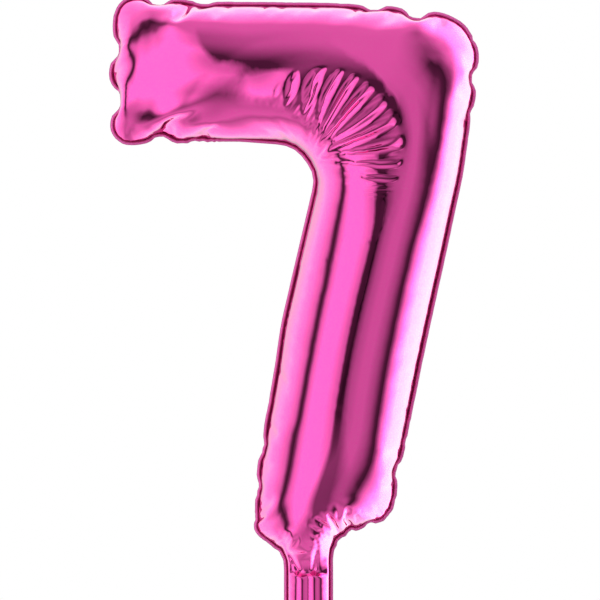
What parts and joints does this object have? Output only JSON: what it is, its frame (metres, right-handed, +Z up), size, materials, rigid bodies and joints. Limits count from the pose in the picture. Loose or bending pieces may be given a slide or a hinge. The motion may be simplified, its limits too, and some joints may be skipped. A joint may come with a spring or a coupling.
{
  "type": "foil number balloon",
  "caption": "Inflated metallised-film balloon shaped as the numeral seven, with a heat-sealed margin, a neck with a self-sealing film valve and an open tail.",
  "frame": {"origin": "centre of the tail's open mouth, on the plane where the two panels are sealed together", "axes": "+Z up, from the mouth through the neck to the body; +X to the right along the numeral's arm, seen from the front; +Y from the front panel to the rear panel"},
  "size_m": [0.237, 0.0988, 0.4283],
  "materials": {
    "pink_foil": "mirror-bright metallised pink film",
    "clear_film": "thin milky clear polyethylene film"
  },
  "bodies": {
    "balloon": {"front_panel": "pink_foil", "rear_panel": "pink_foil"},
    "valve_front": {"valve_front_film": "clear_film"},
    "valve_rear": {"valve_rear_film": "clear_film"}
  },
  "joints": [
    {"name": "valve_front_open", "type": "hinge", "parent": "balloon", "child": "valve_front", "pos_m": [0, -0.003, 0.0557], "axis": [1, 0, 0], "range_deg": [0, 4], "stiffness_Nm_per_rad": 0.002},
    {"name": "valve_rear_open", "type": "hinge", "parent": "balloon", "child": "valve_rear", "pos_m": [0, 0.003, 0.0557], "axis": [-1, 0, 0], "range_deg": [0, 4], "stiffness_Nm_per_rad": 0.002}
  ],
  "couplings": [
    {"joint": "valve_rear_open", "follows": "valve_front_open", "ratio": 1}
  ]
}
